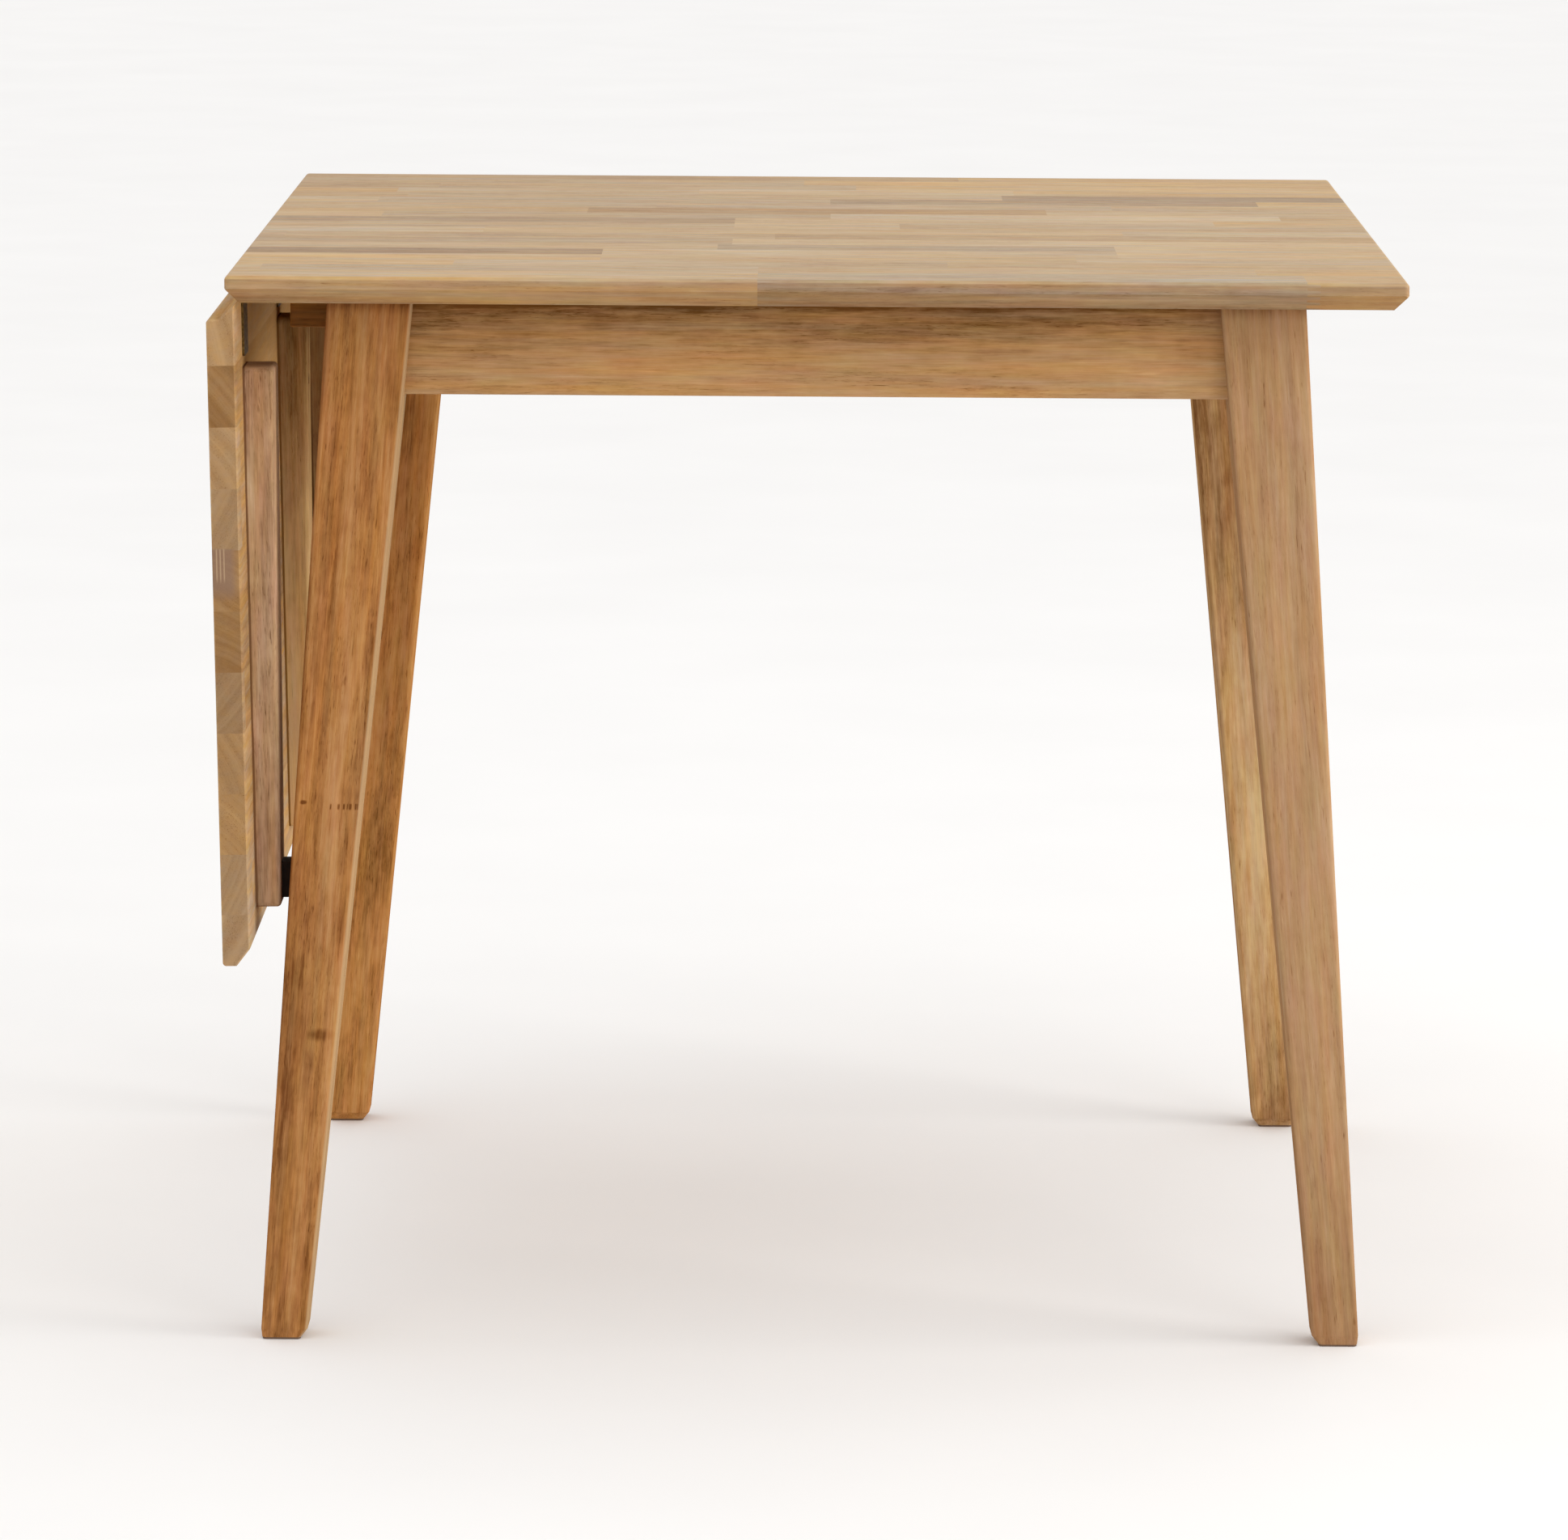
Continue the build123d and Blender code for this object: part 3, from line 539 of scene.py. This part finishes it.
SLIDING = [n for n in sorted(nodes) if n.startswith(("bearer_", "guide_")) and n != "guide_screws"]
for index, name in enumerate(SLIDING):
    axes = board_axes("XZY", tuple(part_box(name)[0]))
    use(oak("oak_" + name, axes, 41.0 + index * 1.3, light=(208, 156, 86), mid=(178, 124, 60),
            dark=(118, 74, 28), tone=0.5, shine=0.2), name)
for index, name in enumerate(n for n in sorted(nodes) if n.startswith("brace_")):
    axes = board_axes("XZY", tuple(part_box(name)[0]))
    use(oak("oak_" + name, axes, 51.0 + index * 1.3), name)
use(oak("oak_dowels", board_axes("XZY"), 61.0), "apron_dowels", "stop_pin_front", "stop_pin_rear")


# ---------------------------------------------------------------- metal, rubber, plastic
def steel(name, bright, mid, dull, smoothest, roughest):
    """Plated steel with a faint spangle."""
    g = Graph(name)
    place = g.coords.outputs["Object"]
    mottled = g.noise(place, 260.0, 3.0, 0.6)
    fine = g.noise(place, 1900.0, 2.0, 0.5)
    spangle = g.node("ShaderNodeTexVoronoi")
    g.put(spangle.inputs["Vector"], place)
    spangle.inputs["Scale"].default_value = 420.0
    tone = g.add(g.mul(mottled, 0.6), g.mul(spangle.outputs["Distance"], 0.5))
    colour = g.ramp(tone, ((0.2, rgb(*bright)), (0.6, rgb(*mid)), (0.95, rgb(*dull))))
    g.put(g.bsdf.inputs["Base Color"], colour)
    g.bsdf.inputs["Metallic"].default_value = 1.0
    g.put(g.bsdf.inputs["Roughness"], g.linear(mottled, 0.3, 0.7, smoothest, roughest))
    g.put(g.bsdf.inputs["Normal"], g.bump(fine, 0.15, 0.0001))
    return g.material


def rubber(name):
    """Matt rubber with a little dust."""
    g = Graph(name)
    place = g.coords.outputs["Object"]
    grain = g.noise(place, 1500.0, 2.0, 0.6)
    dust = g.noise(place, 120.0, 3.0, 0.6)
    g.put(g.bsdf.inputs["Base Color"], g.ramp(dust, ((0.3, rgb(26, 16, 10)), (0.8, rgb(42, 28, 20)))))
    g.put(g.bsdf.inputs["Roughness"], g.linear(grain, 0.3, 0.7, 0.65, 0.85))
    g.bsdf.inputs["Specular IOR Level"].default_value = 0.15
    g.put(g.bsdf.inputs["Normal"], g.bump(grain, 0.3, 0.0002))
    return g.material


def plastic(name):
    """Brown plastic with a fine grain."""
    g = Graph(name)
    place = g.coords.outputs["Object"]
    grain = g.noise(place, 900.0, 2.0, 0.6)
    g.put(g.bsdf.inputs["Base Color"], g.ramp(grain, ((0.3, rgb(92, 66, 44)), (0.8, rgb(110, 82, 58)))))
    g.put(g.bsdf.inputs["Roughness"], g.linear(grain, 0.3, 0.7, 0.45, 0.6))
    g.put(g.bsdf.inputs["Normal"], g.bump(grain, 0.2, 0.0001))
    return g.material


zinc = steel("zinc_steel", (196, 196, 192), (168, 168, 166), (120, 118, 116), 0.24, 0.42)
use(zinc, *(n for n in nodes if n.startswith("hanger_") or n.endswith(("_screws", "_brackets"))))
# The hinges are zinc-plated steel with a yellow tint, their colours painted dark brown as a reflection of
# the dark underside of the table.
hinge_zinc_painted_dark = steel("hinge_steel", (140, 112, 62), (100, 78, 40), (58, 42, 20), 0.45, 0.65)
use(hinge_zinc_painted_dark, *(n for n in nodes if n.startswith("hinge_")))
use(rubber("black_rubber"), "bumper_front", "bumper_rear")
use(plastic("brown_glide"), "foot_glides")

# ---------------------------------------------------------------- stage, light and camera
bpy.ops.mesh.primitive_plane_add(size=120.0, location=(0.0, 20.0, 0.0))
floor = bpy.context.object
floor.name = "floor"
g = Graph("pale_floor")
speck = g.noise(g.coords.outputs["Object"], 3.0, 3.0, 0.5)
FLOOR_SHADES = ((0.3, (0.89, 0.89, 0.89, 1.0)), (0.7, (0.91, 0.91, 0.91, 1.0)))
g.put(g.bsdf.inputs["Base Color"], g.ramp(speck, FLOOR_SHADES))
g.bsdf.inputs["Roughness"].default_value = 0.9
g.bsdf.inputs["Specular IOR Level"].default_value = 0.1
floor.data.materials.append(g.material)

world = bpy.data.worlds.new("studio")
scene.world = world
world.use_nodes = True
sky = world.node_tree
heading = sky.nodes.new("ShaderNodeTexCoord")
parts = sky.nodes.new("ShaderNodeSeparateXYZ")
fade = sky.nodes.new("ShaderNodeValToRGB")
fade.color_ramp.elements[0].position = 0.0
fade.color_ramp.elements[0].color = (0.92, 0.90, 0.88, 1.0)
fade.color_ramp.elements[1].position = 0.75
fade.color_ramp.elements[1].color = (1.0, 0.99, 0.98, 1.0)
sky.links.new(heading.outputs["Generated"], parts.inputs[0])
sky.links.new(parts.outputs[2], fade.inputs[0])
sky.links.new(fade.outputs[0], sky.nodes["Background"].inputs[0])
sky.nodes["Background"].inputs[1].default_value = 1.05


TABLE_MIDDLE = Vector((0.0, 0.0, 0.5))
LIGHT_SIZE = 1.8
LIGHT_COLOUR = (1.0, 0.985, 0.96)


def area(name, place, power):
    """A square soft light that looks at the middle of the table."""
    data = bpy.data.lights.new(name, "AREA")
    data.shape = "RECTANGLE"
    data.size = LIGHT_SIZE
    data.size_y = LIGHT_SIZE
    data.energy = power
    data.color = LIGHT_COLOUR
    lamp = bpy.data.objects.new(name, data)
    lamp.location = place
    lamp.rotation_euler = (TABLE_MIDDLE - Vector(place)).to_track_quat("-Z", "Y").to_euler()
    scene.collection.objects.link(lamp)


area("key", (2.5, -3.6, 2.2), 16.0)
area("side", (3.6, -0.9, 1.1), 64.0)

# The camera, worked out from the table's own corners
YAW, PITCH, ROLL = (math.radians(a) for a in (-0.218, 9.625, -0.352))
LENS_MM = 168.27678
CAMERA_PLACE = (TOP_X - 0.0013, -5.32829, 1.24534)
forward = Vector((math.sin(YAW) * math.cos(PITCH), math.cos(YAW) * math.cos(PITCH), -math.sin(PITCH)))
level = Vector((math.cos(YAW), -math.sin(YAW), 0.0))
down = forward.cross(level)
right = level * math.cos(ROLL) + down * math.sin(ROLL)
below = down * math.cos(ROLL) - level * math.sin(ROLL)
camera_data = bpy.data.cameras.new("camera")
camera_data.sensor_width = 36.0
camera_data.lens = LENS_MM
camera_data.clip_end = 200.0
camera = bpy.data.objects.new("camera", camera_data)
turn = Matrix((right, -below, -forward)).transposed().to_4x4()
camera.matrix_world = Matrix.Translation(CAMERA_PLACE) @ turn
scene.collection.objects.link(camera)
scene.camera = camera

scene.view_settings.view_transform = "Standard"
scene.view_settings.look = "None"
scene.view_settings.exposure = 0.0
scene.view_settings.gamma = 1.0
